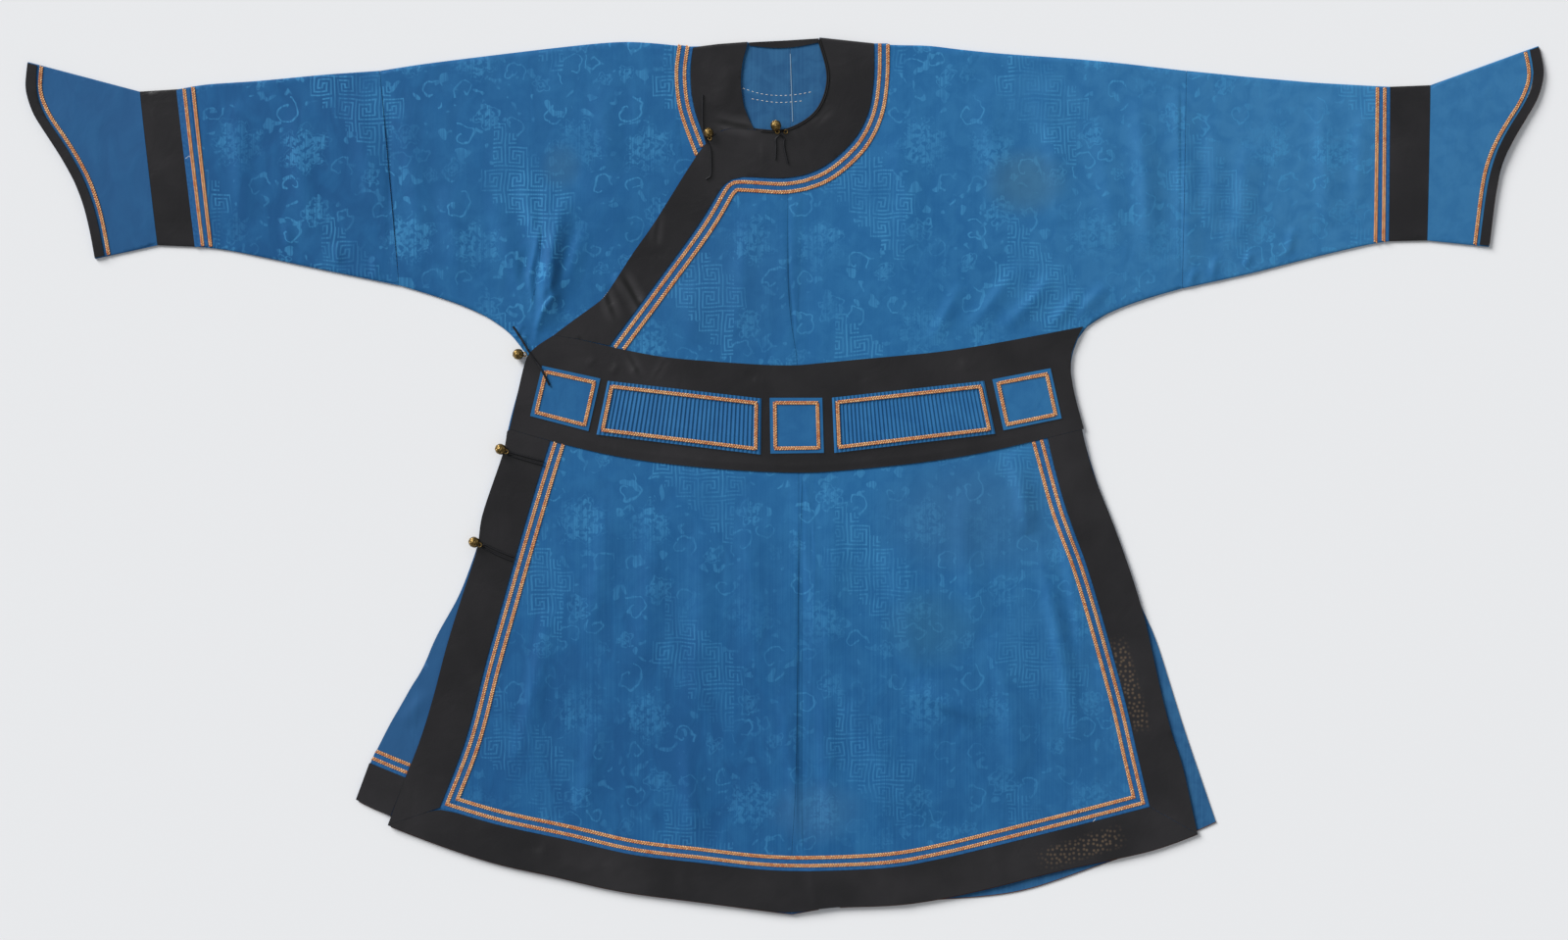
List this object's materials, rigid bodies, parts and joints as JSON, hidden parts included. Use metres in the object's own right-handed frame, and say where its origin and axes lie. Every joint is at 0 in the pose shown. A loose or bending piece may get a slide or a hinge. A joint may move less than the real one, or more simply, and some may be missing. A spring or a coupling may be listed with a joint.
{
  "type": "court robe",
  "caption": "Full-length court robe with a flared skirt, pleated waistband and hoof-shaped cuffs, laid flat and buttoned.",
  "frame": {"origin": "middle of the robe's bounding box, on the surface it lies on", "axes": "+X across the sleeves towards the wearer's left, +Y up the robe towards the neck, +Z out of its front"},
  "size_m": [1.8996, 1.0956, 0.0178],
  "materials": {
    "blue_damask": "blue silk damask with a lighter woven figure",
    "blue_lining": "plain blue silk",
    "black_satin": "black satin",
    "gold_braid": "flat plaited braid of orange-gold thread",
    "black_cord": "black round cord",
    "brass": "aged gilt brass"
  },
  "bodies": {
    "root": {"back_bodice_left": "blue_lining", "back_bodice_right": "blue_lining", "back_neck_border": "black_satin", "back_skirt_left": "blue_lining", "back_skirt_right": "blue_lining", "button_collar": "brass", "button_hip": "brass", "button_neck": "brass", "button_skirt": "brass", "button_waist": "brass", "collar_border": "black_satin", "collar_braid_inner": "gold_braid", "collar_braid_outer": "gold_braid", "front_bodice_left": "blue_damask", "front_bodice_overlap": "blue_damask", "front_skirt_left": "blue_damask", "front_skirt_overlap": "blue_damask", "hoof_border_left": "black_satin", "hoof_border_right": "black_satin", "hoof_braid_left": "gold_braid", "hoof_braid_right": "gold_braid", "hoof_cuff_left": "blue_damask", "hoof_cuff_right": "blue_damask", "inner_collar_border": "black_satin", "inner_collar_braid_inner": "gold_braid", "inner_collar_braid_outer": "gold_braid", "inner_front_bodice": "blue_damask", "inner_front_skirt": "blue_damask", "inner_hem_border": "black_satin", "inner_hem_braid_inner": "gold_braid", "inner_hem_braid_outer": "gold_braid", "loop_collar": "black_cord", "loop_hip": "black_cord", "loop_neck": "black_cord", "loop_skirt": "black_cord", "loop_waist": "black_cord", "skirt_border_hem": "black_satin", "skirt_border_left": "black_satin", "skirt_border_right": "black_satin", "skirt_braid_inner": "gold_braid", "skirt_braid_outer": "gold_braid", "sleeve_band_left": "black_satin", "sleeve_band_right": "black_satin", "sleeve_left": "blue_damask", "sleeve_left_braid_inner": "gold_braid", "sleeve_left_braid_outer": "gold_braid", "sleeve_right": "blue_damask", "sleeve_right_braid_inner": "gold_braid", "sleeve_right_braid_outer": "gold_braid", "waist_braid_1": "gold_braid", "waist_braid_2": "gold_braid", "waist_braid_3": "gold_braid", "waist_braid_4": "gold_braid", "waist_braid_5": "gold_braid", "waist_pleats_left": "blue_damask", "waist_pleats_right": "blue_damask", "waist_square_left": "blue_damask", "waist_square_middle": "blue_damask", "waist_square_right": "blue_damask", "waistband": "black_satin"}
  },
  "joints": []
}
